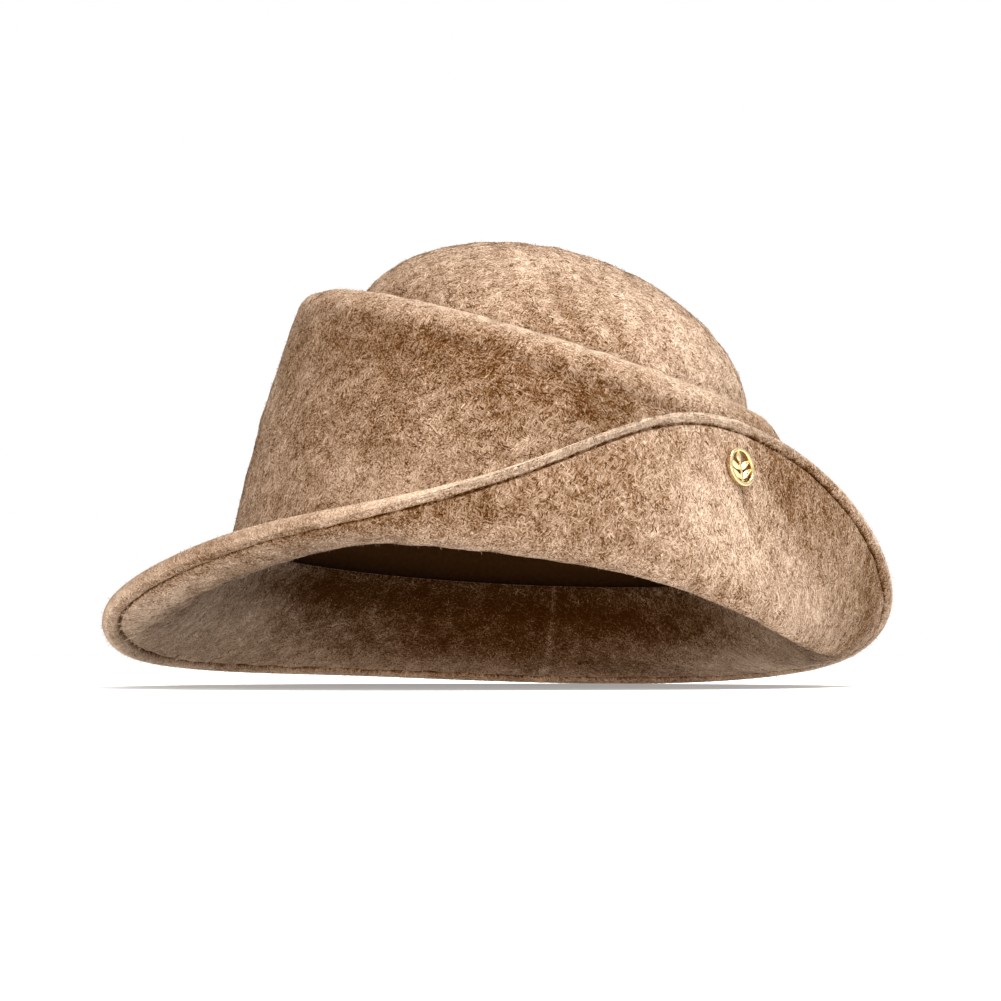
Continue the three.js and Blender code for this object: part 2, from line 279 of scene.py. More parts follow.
# One material: node() makes any node from its type, its settings and its inputs, feed() joins
# values to the surface shader, and the rest are short ways to the nodes used most
class Finish:
    def __init__(self, name, **fixed):
        self.material = bpy.data.materials.new(name)
        self.material.use_nodes = True
        self.tree = self.material.node_tree
        self.shader = self.tree.nodes["Principled BSDF"]
        for socket, value in fixed.items():
            self.shader.inputs[socket.replace("_", " ")].default_value = value

    def node(self, kind, settings, *inputs, output=0, **named):
        made = self.tree.nodes.new(kind)
        for key, value in settings.items():
            if key == "stops":
                ramp = made.color_ramp.elements
                while len(ramp) < len(value):
                    ramp.new(1.0)
                for element, (place, colour) in zip(ramp, value):
                    element.position = place
                    element.color = (*colour, 1.0)
            else:
                setattr(made, key, value)
        for key, value in [*enumerate(inputs), *named.items()]:
            self.join(value, made.inputs[key])
        return Wire(self, made.outputs[output])

    def join(self, value, socket):
        if isinstance(value, Wire):
            self.tree.links.new(value.socket, socket)
        else:
            socket.default_value = value

    def feed(self, **sockets):
        for key, value in sockets.items():
            self.join(value, self.shader.inputs[key.replace("_", " ")])

    def place(self):
        return self.node("ShaderNodeTexCoord", {}, output="Object")

    def noise(self, scale, detail=2.0, vector=None):
        return self.node("ShaderNodeTexNoise", {}, Vector=vector or self.place(), Scale=scale,
                         Detail=detail)

    def bump(self, height, strength, distance):
        return self.node("ShaderNodeBump", {}, Strength=strength, Distance=distance, Height=height)

    def attribute(self, name):
        return self.node("ShaderNodeAttribute", {"attribute_name": name}, output="Fac")

    def ramp(self, value, stops):
        return self.node("ShaderNodeValToRGB", {"stops": stops}, value)


# Camel felt from shadowed roots to sunlit tips
camel = dict(
    stops=[(0.0, (0.040, 0.012, 0.001)), (0.15, (0.105, 0.053, 0.021)), (0.35, (0.26, 0.180, 0.127)),
           (0.6, (0.505, 0.394, 0.300)), (1.0, (0.86, 0.73, 0.61))],
    roughness=0.9, specular=0.0, sheen=0.05, sheenTint=(1.0, 0.80, 0.58, 1.0), groundSheen=0.02,
)

# Fibre strokes in the ground felt: their directions as turns about X, Y and Z, their size and
# relief in metres, and how much they and the tufts change the tone
strokes = dict(turns=[(0.2, 0.5, 0.1), (0.1, -0.9, 0.6), (0.3, 1.3, 1.0), (0.5, 0.2, 1.7)],
               length=0.0034, width=0.0005, detail=1.0, warp=0.004, warpScale=90.0, middle=0.62,
               tone=1.4, tuftScale=260.0, tuftMiddle=0.5, tuftTone=0.2, bump=0.7, relief=0.0002)


# Brushed felt: strokes in several directions, each a noise stretched along one of them over
# a slightly warped space, the strongest of them on top
def feltFinish():
    made = Finish("camel felt", Roughness=camel["roughness"], Specular_IOR_Level=camel["specular"],
                  Sheen_Weight=camel["groundSheen"], Sheen_Tint=camel["sheenTint"])
    place = made.place()
    drift = made.node("ShaderNodeTexNoise", {}, output="Color", Vector=place,
                      Scale=strokes["warpScale"], Detail=strokes["detail"])
    moved = made.node("ShaderNodeVectorMath", {"operation": "MULTIPLY_ADD"}, drift,
                      (strokes["warp"],) * 3, place)
    strands = None
    for turn in strokes["turns"]:
        drawn = made.node("ShaderNodeMapping", {"vector_type": "TEXTURE"}, Vector=moved, Rotation=turn,
                          Scale=(strokes["length"], strokes["width"], strokes["width"]))
        strand = made.noise(1.0, detail=strokes["detail"], vector=drawn)
        strands = strand if strands is None else strands.math("MAXIMUM", strand)
    tufts = made.noise(strokes["tuftScale"])
    tone = (made.attribute("tone") + (strands - strokes["middle"]) * strokes["tone"]
            + (tufts - strokes["tuftMiddle"]) * strokes["tuftTone"])
    made.feed(Base_Color=made.ramp(tone.clamped(), camel["stops"]),
              Normal=made.bump(strands, strokes["bump"], strokes["relief"]))
    return made.material


# Pile fibres: the tone that each one carries, in the felt's colours
def pileFinish():
    made = Finish("camel pile", Roughness=camel["roughness"], Specular_IOR_Level=camel["specular"],
                  Sheen_Weight=camel["sheen"], Sheen_Tint=camel["sheenTint"])
    made.feed(Base_Color=made.ramp(made.attribute("tone").clamped(), camel["stops"]))
    return made.material


feltCamel = feltFinish()
pileCamel = pileFinish()

# Random fields shared by all the felt, so that tufts run on from piece to piece
patchWaves, _ = makeWaves(size=34, seed=11)
tuftWaves, tuftSlope = makeWaves(size=9, seed=12)
lockWaves, lockSlope = makeWaves(size=4.2, seed=13)
swirlWaves, _ = makeWaves(size=46, seed=14)
curlWaves, _ = makeWaves(size=13, seed=15)


# Tone of the felt over a grid: a level, and soft round spots of painted light and shade where
# it is paler or darker, each as turn, share, spread in turn, spread in share and lift
def paintedLightTones(turns, shares, level, shadeSpots):
    tones = np.full(turns.shape, float(level))
    for turn, share, turnSpread, shareSpread, lift in shadeSpots:
        aside = ((turns - np.radians(turn) + np.pi) % fullTurn - np.pi) / np.radians(turnSpread)
        along = (shares - share) / shareSpread
        tones += lift * np.exp(-aside ** 2 - along ** 2)
    return tones


# The pile: its fibres' sizes in millimetres with the range of each, how their lay turns, their
# tones with painted shade at their ends and in the ground felt, and the share and sizes of the
# strays that stand up and of the dark strokes of painted shadow
pile = dict(length=2.5, width=0.25, arch=0.09, sink=0.03, crowding=2.2,
            lengths=(0.5, 1.4), tuftLength=0.15, widths=(0.6, 1.4), arches=(0.5, 1.3), middles=(0.35, 0.65),
            swirl=0.7, curl=0.5, twist=0.6, scatter=0.35, clump=0.25,
            contrast=0.055, palest=0.9, patch=0.03, tuft=0.035, lock=0.08, endShade=-0.05, groundShade=0.06,
            strays=0.05, strayFloor=2.0, strayRise=(0.2, 0.8), strayBend=0.5, strayLength=0.3,
            strayWidth=0.6, shadows=0.42, shadowLocks=0.5, shadowTone=0.25, shadowLift=-0.01,
            shadowWidth=1.2, shadowLength=0.8)


# Tone of the ground felt under the pile: darker than the nap by painted shade between the
# fibres, least so on smooth edges, with the pile's own patches and tufts
def groundTones(points, tones, fineness):
    return (tones - pile["groundShade"] * fineness + pile["patch"] * patchWaves(points)
            + pile["tuft"] * tuftWaves(points))


# Values at fractional steps over a grid closed round its first axis: bilinear between its
# points
def onGrid(values, around, along):
    i, j = np.floor(around).astype(int), np.clip(np.floor(along).astype(int), 0, values.shape[1] - 2)
    a, b = (around - i)[:, None], (along - j)[:, None]
    here, following = i % len(values), (i + 1) % len(values)
    return ((1 - a) * (1 - b) * values[here, j] + a * (1 - b) * values[following, j]
            + (1 - a) * b * values[here, j + 1] + a * b * values[following, j + 1])


# Pile: fibres as thin closed slivers of four faces, pressed flat. Each has its two ends sunk in
# the felt, painted darker there as shade, and a middle edge across it, raised off the felt.
# Roots are spread evenly over the grid's area, and a fibre's other points are found by stepping
# over the grid, so that it follows a bend. The lay follows the grid, turned by slow waves and by
# each lock, and is drawn up the tufts. Short wide dark ones are painted shadows between locks,
# and a few strays stand up.
def growPile(name, grid, tones, fineness, count, lay, seed, weights=1.0, rising=1.0):
    rng = np.random.default_rng(seed)
    right, up = np.roll(grid, -1, 0) - grid, grid[:, 1:] - grid[:, :-1]
    areas = np.linalg.norm(np.cross(right[:, :-1], up), axis=-1)
    areas = areas * weights / fineness[:, 1:] ** pile["crowding"]
    heaped = np.cumsum(areas.ravel())
    picks = np.searchsorted(heaped, rng.random(count) * heaped[-1])
    i, j = np.unravel_index(picks, areas.shape)
    a, b = rng.random((2, count))
    normals = gridNormals(grid)
    rowLengths = np.linalg.norm(up, axis=-1)
    reach = np.concatenate([[0], np.cumsum(rowLengths.mean(0))])
    stretch = rowLengths[i, j] / (reach[j + 1] - reach[j])
    roundStep = np.linalg.norm(right[i, j], axis=-1)

    def stepped(sideStep, upStep):
        reached = reach[j] + b * (reach[j + 1] - reach[j]) + upStep / stretch
        return i + a + sideStep / roundStep, np.interp(reached, reach, np.arange(len(reach)))

    start = stepped(0.0, 0.0)
    root, normal = onGrid(grid, *start), unit(onGrid(normals, *start))
    tone, fine = onGrid(tones[..., None], *start)[:, 0], onGrid(fineness[..., None], *start)[:, 0]
    upward = unit(up[i, j])
    sideways = unit(np.cross(upward, normal))
    sideways = sideways * np.sign((sideways * right[i, j]).sum(-1, keepdims=True))
    tuft, lock = tuftWaves(root), lockWaves(root)
    angle = (lay + pile["swirl"] * swirlWaves(root) + pile["curl"] * curlWaves(root)
             + pile["twist"] * lock + rng.normal(0, pile["scatter"], count))[:, None]
    way = np.cos(angle) * upward + np.sin(angle) * sideways
    way = unit(way + pile["clump"] * (tuftSlope(root) + lockSlope(root)))
    stray = (rng.random(count) < pile["strays"]) & (root[:, 2] > pile["strayFloor"])
    shadow = (rng.random(count) < pile["shadows"] * (1 - pile["shadowLocks"] * lock)) & ~stray
    paleness = np.minimum(rng.normal(0, 1, count), pile["palest"])
    length = pile["length"] * fine * rng.uniform(*pile["lengths"], count) * (1 + pile["tuftLength"] * tuft)
    length = length * np.select([stray, shadow], [pile["strayLength"], pile["shadowLength"]], 1.0)
    sideStep, upStep = length * (way * sideways).sum(-1), length * (way * upward).sum(-1)
    ending = stepped(sideStep, upStep)
    share = rng.uniform(*pile["middles"], count)
    halfway = stepped(sideStep * share, upStep * share)
    width = pile["width"] * rng.uniform(*pile["widths"], count)
    width = width * np.select([stray, shadow], [pile["strayWidth"], pile["shadowWidth"]], 1.0)
    arch = pile["arch"] * rng.uniform(*pile["arches"], count) + pile["shadowLift"] * shadow
    rise = np.where(stray, rising * rng.uniform(*pile["strayRise"], count), -pile["sink"])
    halfNormal = unit(onGrid(normals, *halfway))
    root = root - normal * pile["sink"]
    end = onGrid(grid, *ending) + unit(onGrid(normals, *ending)) * rise[:, None]
    middle = onGrid(grid, *halfway) + halfNormal * (arch + pile["strayBend"] * np.maximum(rise, 0))[:, None]
    edge = unit(np.cross(halfNormal, end - root)) * width[:, None] / 2
    points = np.stack([root, end, middle + edge, middle - edge], 1)
    corners = np.array([[0, 2, 3], [1, 3, 2], [0, 1, 2], [0, 3, 1]])
    faces = (np.arange(count)[:, None, None] * 4 + corners).reshape(-1, 3)
    shade = (tone + fine * (pile["patch"] * patchWaves(root) + pile["tuft"] * tuft + pile["lock"] * lock
                            + pile["contrast"] * paleness - pile["shadowTone"] * shadow))
    # Both ends, sunk in the felt, carry painted shade
    ends = np.array([pile["endShade"], pile["endShade"], 0.0, 0.0])
    piece = meshPiece(name, points, faces, tones=shade[:, None] + ends, smooth=False)
    piece.data.materials.append(pileCamel)
    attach(piece, "root")


# A felt piece made from a closed grid of sections, riding with the hat in place of a solid
def feltPiece(name, node, points, faces, tones):
    piece = meshPiece(name, points, faces, tones=tones)
    piece.data.materials.append(feltCamel)
    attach(piece, "root")
    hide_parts(node)


# Slow hand-blocked unevenness of the felt, a fraction of a millimetre along its normals
def uneven(points, depth):
    return points + gridNormals(points) * (depth * (tuftWaves(points) + curlWaves(points)))[..., None]


# Crown dome: the half ellipsoid outside, the same set in by the wall inside
# The dome's spots are painted light and shade, and its inside is painted darker as shade.
crown = dict(rounds=300, poleGap=0.012, innerStep=6, uneven=0.12, count=40000, lay=-2.0, tone=0.405,
             inner=0.2,
             shadeSpots=[(322, 0.3, 26, 0.5, 0.08), (280, 0.8, 25, 0.3, 0.08), (282, 0.3, 20, 0.2, -0.07)])
rowAngles = np.linspace(dome["rimAngle"], quarterTurn - crown["poleGap"], dome["rows"])
turns, angles = spread(crown["rounds"], rowAngles)
domeOut = uneven(domePoint(turns, angles, 0), crown["uneven"])
domeTones = paintedLightTones(turns, angles, crown["tone"], crown["shadeSpots"])
domeFine = np.ones(turns.shape)
innerSpan = slice(None, None, crown["innerStep"])
domeIn = domePoint(turns[:, innerSpan], angles[:, innerSpan], felt["wall"])
shell = np.concatenate([domeIn[:, ::-1], domeOut], axis=1)
# Inside felt: painted shade, darker than the outside
innerShadeTones = np.full(domeIn.shape[:2], crown["inner"])
tones = np.concatenate([innerShadeTones, groundTones(domeOut, domeTones, domeFine)], axis=1)
poles = np.stack([shell[:, 0].mean(0), shell[:, -1].mean(0)])
poleTones = [tones[0, 0], tones[0, -1]]
rounds, rows = shell.shape[:2]
quads = gridFaces(rounds, rows, closesRows=False)
here = np.arange(rounds)
following = (here + 1) % rounds
innerPole, outerPole = rounds * rows, rounds * rows + 1
faces = np.concatenate([
    quads[:, [0, 1, 2]],
    quads[:, [0, 2, 3]],
    np.stack([here * rows, np.full(rounds, innerPole), following * rows], -1),
    np.stack([here * rows + rows - 1, following * rows + rows - 1, np.full(rounds, outerPole)], -1),
])
feltPiece("dome_felt", "crown_dome", np.concatenate([shell.reshape(-1, 3), poles]), faces,
          np.concatenate([tones.ravel(), poleTones]))
growPile("dome_pile", domeOut, domeTones, domeFine, crown["count"], crown["lay"], seed=21)
print("crown dome made")

# Crown side: wall and fold outside, shares 0 to 1 and 1 to 3, the wall set in by the felt
# inside. Its felt is painted a little darker than the dome's, as shade, and its spots are
# painted light and shade. The fold's top is smooth, with a painted highlight along it, and the
# inside is painted darker as shade.
wall = dict(rounds=320, uneven=0.11, innerRows=14, count=30000, lay=1.9, tone=0.36, inner=0.2,
            shadeSpots=[(248, 0.2, 32, 0.25, 0.105), (0, 0.9, 500, 0.2, -0.06), (236, 0.5, 22, 0.3, -0.05),
                   (240, 1.02, 16, 0.2, -0.15), (282, 0.85, 12, 0.2, -0.08), (310, 1.4, 15, 0.4, 0.08)],
            ridge=1.9, ridgeSpread=0.30, ridgeLoss=0.7, ridgeHighlight=0.24)
turns, wallShares = spread(wall["rounds"], np.linspace(0, 1, side["wallRows"]))
foldTurns, foldShares = spread(wall["rounds"], np.linspace(0, 2, 2 * side["foldRows"] + 1)[1:])
sideOut = np.concatenate([wallPoint(turns, wallShares, 0), foldPoint(foldTurns, foldShares)], axis=1)
sideOut[:, 0, 2] += felt["gap"] / 2
sideOut[:, 2:] = uneven(sideOut, wall["uneven"])[:, 2:]
turns = np.concatenate([turns, foldTurns], axis=1)
shares = np.concatenate([wallShares, 1 + foldShares], axis=1)
sideFine = 1 - wall["ridgeLoss"] * np.exp(-((shares - wall["ridge"]) / wall["ridgeSpread"]) ** 2)
sideTones = paintedLightTones(turns, shares, wall["tone"], wall["shadeSpots"]) + wall["ridgeHighlight"] * (1 - sideFine)
innerTurns, innerShares = spread(wall["rounds"], np.linspace(0, 1, wall["innerRows"]))
wallIn = wallPoint(innerTurns, innerShares, felt["wall"])
wallIn[:, 0, 2] += felt["gap"] / 2
foldRow = foldAt(turns[:, 0])
lip = besideDome(turns[:, 0], side["creaseGap"], foldRow[:, 1] + felt["wall"])
under = besideDome(turns[:, 0], foldRow[:, 2] + felt["wall"], foldRow[:, 1] + felt["wall"])
inner = np.concatenate([lip[:, None], under[:, None], wallIn[:, ::-1]], axis=1)
shell = np.concatenate([sideOut, inner], axis=1)
# Inside felt: painted shade, darker than the outside
innerShadeTones = np.full(inner.shape[:2], wall["inner"])
tones = np.concatenate([groundTones(sideOut, sideTones, sideFine), innerShadeTones], axis=1)
feltPiece("side_felt", "crown_side", shell, gridFaces(wall["rounds"], shell.shape[1]), tones)
behind = (np.arange(wall["rounds"]) < wall["rounds"] // 2).astype(float)[:, None]
for name, seed, weights in [("side_front_pile", 22, 1 - behind), ("side_back_pile", 23, behind)]:
    growPile(name, sideOut, sideTones, sideFine, wall["count"], wall["lay"], seed, weights)
print("crown side made")

# Brim: both faces stand off the middle by half the wall, more at the doubled hem, with a
# sunk line of stitches where the hem begins and a round edge
# The spots on the brim's two faces are painted light and shade.
brim = dict(rounds=420, mainRows=34, hemHalf=2.3, hemSwell=2.2, grooveDepth=1.0, grooveHalf=0.4, edgeRows=9,
            hemWidths=[[6.4], [6.8], [6.0], [6.0], [5.8], [5.4], [3.7], [3.3]],  # from the left round
            besideGroove=[3.0, 2.0, 1.2, 0.8, 0.5, 0.25, 0, -0.25, -0.5, -0.8, -1.2, -1.8, -2.4, -3.0],
            uneven=0.13, lap=0.5, lapInsets=(0.8, 0.2), edgeLoss=0.6, edgeSpread=3.4, edgeHighlight=0.20,
            grooveShade=-0.5, grooveLevel=0.7, grooveSway=0.5, grooveRange=(0.2, 1), grooveClear=1.1,
            underCount=46000, underLay=0.3, underRising=1.5, underTone=0.37,
            upperCount=32000, upperLay=2.6, upperTone=0.42, upperShadeSpots=[(205, 1.0, 45, 0.25, -0.27)],
            underShadeSpots=[
                (307, 0.8, 15, 0.4, 0.13), (331, 0.76, 14, 0.25, 0.09), (354, 0.9, 14, 0.5, -0.12),
                (324, 0.94, 12, 0.13, -0.19), (265, 0.86, 18, 0.1, -0.08), (266, 0.45, 25, 0.15, 0.08),
                (220, 0.94, 28, 0.12, -0.20), (203, 0.8, 18, 0.2, 0.20), (90, 0.85, 50, 0.4, 0.09),
                (90, 0.2, 50, 0.45, -0.27), (30, 0.5, 30, 0.8, 0.20), (160, 0.45, 32, 0.6, 0.21),
                (55, 0.2, 28, 0.2, -0.16), (43, 0.68, 18, 0.2, 0.10), (128, 0.12, 20, 0.15, -0.20),
                (100, 0.55, 22, 0.3, -0.10), (120, 0.78, 22, 0.22, 0.06), (303, 0.97, 7, 0.06, -0.10),
                (72, 0.66, 11, 0.16, -0.13), (93, 0.34, 14, 0.14, 0.05), (103, 0.05, 18, 0.12, 0.02),
                (144, 0.18, 12, 0.12, -0.09), (303, 0.57, 8, 0.1, -0.08)
            ])
# The seam's tone is a painted highlight along its ridge.
seam = dict(turnAtCrown=np.radians(78.7), turnAtEdge=np.radians(85.5), halfWidth=1.1, height=0.6,
            upperShare=0.4, tone=0.16)
# The crease's tone is painted shade in its hollow.
crease = dict(shares=[0.76, 0.79, 0.82, 0.87, 0.905, 0.93], turns=[318, 315.5, 312.4, 309.9, 309.1, 309],
              depths=[0, 0.6, 0.9, 0.9, 0.7, 0], halfWidth=1.4, tone=-0.15)


# Level distance round the crown from a line, given by its turns, to the brim's points: the
# difference in turn times the distance from the middle of the base
def besideLine(turns, lineTurns, points):
    return (turns - lineTurns) * np.linalg.norm(points[..., :2] - [base["x"], base["y"]], axis=-1)


ring, atEdge = spread(brim["rounds"], [1.0])
edgeWay, edgeUnder, edgeSpeed = brimFrame(ring, atEdge)
hemWidth = aroundTable(brim["hemWidths"])(ring)[..., 0]
hemShares = 1 - (hemWidth + np.array(brim["besideGroove"])[None, :]) / edgeSpeed
mainShares = np.linspace(0, 1, brim["mainRows"])[None, :-1] * hemShares[:, :1]
shares = np.concatenate([mainShares, hemShares], axis=1)
turns = np.broadcast_to(ring, shares.shape)
middle = brimMiddle(turns, shares)
underWay = gridNormals(middle)
fromGroove = hemWidth - (1 - shares) * edgeSpeed
swelling = np.sin(np.clip(fromGroove / brim["hemSwell"], 0, 1) * quarterTurn)
half = felt["wall"] / 2 + (brim["hemHalf"] - felt["wall"] / 2) * swelling
inGroove = np.exp(-(fromGroove / brim["grooveHalf"]) ** 2)
seamTurns = seam["turnAtCrown"] + (seam["turnAtEdge"] - seam["turnAtCrown"]) * shares
onSeam = np.exp(-(besideLine(turns, seamTurns, middle) / seam["halfWidth"]) ** 2)
creaseTurns = np.radians(np.interp(shares, crease["shares"], crease["turns"]))
creaseDepth = (np.interp(shares, crease["shares"], crease["depths"])
               * np.exp(-(besideLine(turns, creaseTurns, middle) / crease["halfWidth"]) ** 2))
toEdge = np.exp(-(((1 - shares) * edgeSpeed) / brim["edgeSpread"]) ** 2)
lift = brim["uneven"] * (tuftWaves(middle) + curlWaves(middle)) * (1 - toEdge)
stand = half - brim["grooveDepth"] * inGroove
underFace = middle + underWay * (stand + seam["height"] * onSeam - creaseDepth + lift)[..., None]
upperFace = middle - underWay * (stand + seam["upperShare"] * seam["height"] * onSeam - lift)[..., None]
foot, _ = baseRing(ring[:, 0], felt["wall"])
underFace[:, 0] = foot - [0, 0, felt["gap"] / 2]
foot, _ = baseRing(ring[:, 0], 0)
upperFace[:, 0] = foot - [0, 0, felt["gap"] / 2]
bends = np.linspace(quarterTurn, -quarterTurn, brim["edgeRows"])[None, :, None]
edgeRound = (brimMiddle(ring, atEdge) + edgeWay * brim["hemHalf"] * (np.cos(bends) - 1)
             + edgeUnder * brim["hemHalf"] * np.sin(bends))
lap = [baseRing(ring, felt["wall"] * inset)[0] + [0, 0, brim["lap"]] for inset in brim["lapInsets"]]
shell = np.concatenate([lap[0], underFace, edgeRound, upperFace[:, ::-1], lap[1]], axis=1)

# The hem's edge is smooth with a painted highlight, and the stitch line has painted shade and no pile on it
edgeFine = 1 - brim["edgeLoss"] * toEdge
roundFine = np.full(edgeRound.shape[:2], 1 - brim["edgeLoss"])
lapFine = np.ones(ring.shape)
fine = np.concatenate([lapFine, edgeFine, roundFine, edgeFine[:, ::-1], lapFine], axis=1)
# Painted shade in the stitch groove, stronger or weaker along it
grooveShadeAmounts = np.clip(brim["grooveLevel"] + brim["grooveSway"] * lockWaves(middle), *brim["grooveRange"])
# Painted light on the brim: shade in the groove and the crease, a highlight on the seam
paintedShading = brim["grooveShade"] * inGroove * grooveShadeAmounts + seam["tone"] * onSeam + crease["tone"] * creaseDepth
underTones = paintedLightTones(turns, shares, brim["underTone"], brim["underShadeSpots"]) + paintedShading
upperTones = paintedLightTones(turns, shares, brim["upperTone"], brim["upperShadeSpots"]) + paintedShading
lastUnder, lastUpper = underTones[:, -1:], upperTones[:, -1:]
roundTones = lastUnder + (lastUpper - lastUnder) * np.linspace(0, 1, brim["edgeRows"])
# The edge's paler tone is a painted highlight.
tones = [underTones[:, :1], underTones, roundTones, upperTones[:, ::-1], upperTones[:, :1]]
tones = np.concatenate(tones, axis=1) + brim["edgeHighlight"] * (1 - fine) / brim["edgeLoss"]
faces = gridFaces(brim["rounds"], shell.shape[1])
feltPiece("brim_felt", "brim", shell, faces, groundTones(shell, tones, fine))
clear = 1 - np.exp(-(fromGroove / brim["grooveClear"]) ** 2)
weights = np.concatenate([lapFine, clear, np.ones(roundFine.shape), clear[:, ::-1], lapFine], axis=1)
turnover = 1 + shares.shape[1] + brim["edgeRows"] // 2
span = slice(1, turnover + 1)
growPile("brim_under_pile", shell[:, span], tones[:, span], fine[:, span], brim["underCount"],
         brim["underLay"], seed=24, weights=weights[:, span][:, 1:], rising=brim["underRising"])
span = slice(turnover, -1)
growPile("brim_upper_pile", shell[:, span], tones[:, span], fine[:, span], brim["upperCount"],
         brim["upperLay"], seed=25, weights=weights[:, span][:, 1:])
print("brim made")

# Stitches sunk in the groove: ovals of thread, each made of rings of points between two ends
stitch = dict(spacing=2.9, length=1.9, halfWidth=0.24, sunk=0.12, stations=[0.03, 0.2, 0.5, 0.8, 0.97],
              around=6, aimStep=0.5, tone=0.36)


# Points of all the stitches along a closed line of grid points with its outward normals:
# circles that swell and shrink along each stitch by a half ellipse
def stitchRow(line, normals):
    steps = np.linalg.norm(np.roll(line, -1, 0) - line, axis=-1)
    reach = np.concatenate([[0], np.cumsum(steps)])
    count = int(reach[-1] // stitch["spacing"])
    at = (np.arange(count) + 0.5) / count * reach[-1]
    closedLine = np.concatenate([line, line[:1]])
    closedNormals = np.concatenate([normals, normals[:1]])

    def pick(places, values):
        return np.stack([np.interp(places, reach, values[:, k]) for k in range(3)], -1)

    ahead = np.minimum(at + stitch["aimStep"], reach[-1])
    way = unit(pick(ahead, closedLine) - pick(at - stitch["aimStep"], closedLine))
    out = unit(pick(at, closedNormals))
    across = np.cross(out, way)
    middle = pick(at, closedLine) - out * stitch["sunk"]
    stations = np.array(stitch["stations"])
    swell = np.sqrt(np.maximum(1 - (2 * stations - 1) ** 2, 0)) * stitch["halfWidth"]
    angles = np.arange(stitch["around"]) / stitch["around"] * fullTurn
    circle = across[:, None, :] * np.cos(angles)[:, None] + out[:, None, :] * np.sin(angles)[:, None]
    centres = middle[:, None, :] + way[:, None, :] * ((stations - 0.5) * stitch["length"])[:, None]
    return centres[:, :, None, :] + circle[:, None] * swell[:, None, None]


# Points and triangles of closed tubes from rings of points, right-handed about their way, with
# a flat cap on each end: the axes are tube, ring, place round it
def closedTubes(rings):
    copies, stations, around = rings.shape[:3]
    points = np.concatenate([rings.reshape(copies, -1, 3), rings[:, [0, -1]].mean(2)], axis=1)
    k = np.arange(around)
    nextK = (k + 1) % around
    start = (np.arange(stations - 1) * around)[:, None]
    quads = np.stack([start + k, start + nextK, start + around + nextK, start + around + k], -1)
    quads = quads.reshape(-1, 4)
    last = (stations - 1) * around
    endA, endB = stations * around, stations * around + 1
    one = np.concatenate([
        quads[:, [0, 1, 2]],
        quads[:, [0, 2, 3]],
        np.stack([k, np.full(around, endA), nextK], -1),
        np.stack([last + k, last + nextK, np.full(around, endB)], -1),
    ])
    faces = one[None] + (np.arange(copies) * points.shape[1])[:, None, None]
    return points.reshape(-1, 3), faces.reshape(-1, 3)


grooveRow = brim["mainRows"] - 1 + brim["besideGroove"].index(0)
grooveNormals = underWay[:, grooveRow]
underRow = stitchRow(underFace[:, grooveRow], grooveNormals)
upperRow = stitchRow(upperFace[:, grooveRow], -grooveNormals)
points, faces = closedTubes(np.concatenate([underRow, upperRow]))
stitches = meshPiece("hem_stitches", points, faces, tones=np.full(len(points), stitch["tone"]))
stitches.data.materials.append(pileCamel)
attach(stitches, "root")
print("stitches made")

# Sweatband: a woven band inside the base of the crown side, with painted shadow along its lower edge
band = dict(wall=1.4, height=32, start=0.005, rows=10, rounds=180, edgeShadows=[0, 0.6], roughness=0.9,
            specular=0.04, toneShare=0.7, weaveShare=0.3, weaveScale=700.0, bump=0.4, relief=0.0004,
            stops=[(0.1, (0.006, 0.002, 0.0005)), (0.8, (0.062, 0.025, 0.007)),
                   (1.0, (0.090, 0.038, 0.012))])
turns, steps = spread(band["rounds"], np.linspace(0, 1, band["rows"]))
wholeWall = wallPoint(turns, 1 + 0 * turns, 0) - wallPoint(turns, 0 * turns, 0)
length = np.linalg.norm(wholeWall, axis=-1)
shares = band["start"] + (band["height"] / length - band["start"]) * steps
outer = felt["wall"] + felt["gap"]
bandOut = wallPoint(turns, shares, outer)
bandIn = wallPoint(turns, shares, outer + band["wall"])
bandTones = np.ones(shares.shape)
# The lowest two rows are painted shadow
bandTones[:, :2] = band["edgeShadows"]
shell = np.concatenate([bandOut, bandIn[:, ::-1]], axis=1)
tones = np.concatenate([bandTones, bandTones[:, ::-1]], axis=1)


# Brown weave: a sum of the band's tone and a fine noise, which is also its relief
def bandFinish():
    made = Finish("brown band", Roughness=band["roughness"], Specular_IOR_Level=band["specular"])
    weave = made.noise(band["weaveScale"])
    mixed = band["toneShare"] * made.attribute("tone") + band["weaveShare"] * weave
    made.feed(Base_Color=made.ramp(mixed, band["stops"]),
              Normal=made.bump(weave, band["bump"], band["relief"]))
    return made.material


sweatband = meshPiece("sweat_band", shell, gridFaces(band["rounds"], shell.shape[1]), tones=tones)
sweatband.data.materials.append(bandFinish())
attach(sweatband, "root")
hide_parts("sweatband")
print("sweatband made")

# Emblem: a ring round a pierced sprig of leaves, with a post through the felt to a back
# washer. Its own axes are across, towards the brim's edge and out of the felt.
emblem = dict(
    turn=np.radians(308.8), along=0.935, faceGap=0.35, backGap=0.5, ringMiddle=5.2, ringHalf=0.6,
    ringHeight=1.6, ringRounds=96, ringAround=20, squareness=0.6,
    leaves=[(1.2, 90), (-3.6, 34), (-3.6, 146), (-0.9, 34), (-0.9, 146)], leafHalf=1.0, leafHeight=1.3,
    leafEnds=(0.01, 0.99), leafStations=18, leafAcross=13, leafPower=1.5, midribHalf=0.14,
    midribDepth=0.3, edgeShare=0.45, stemHalf=0.42, stemHeight=1.1, stemStations=5, around=24,
    postRadius=0.7, washerRadius=2.6, washerThickness=0.6, washerRound=0.15, sharp=np.radians(40))
gilt = dict(wearScale=1500.0, wearDetail=3.0, roughness=0.14, wearRoughness=0.15,
            stops=[(0.3, (0.62, 0.46, 0.22)), (0.7, (0.86, 0.69, 0.40))])


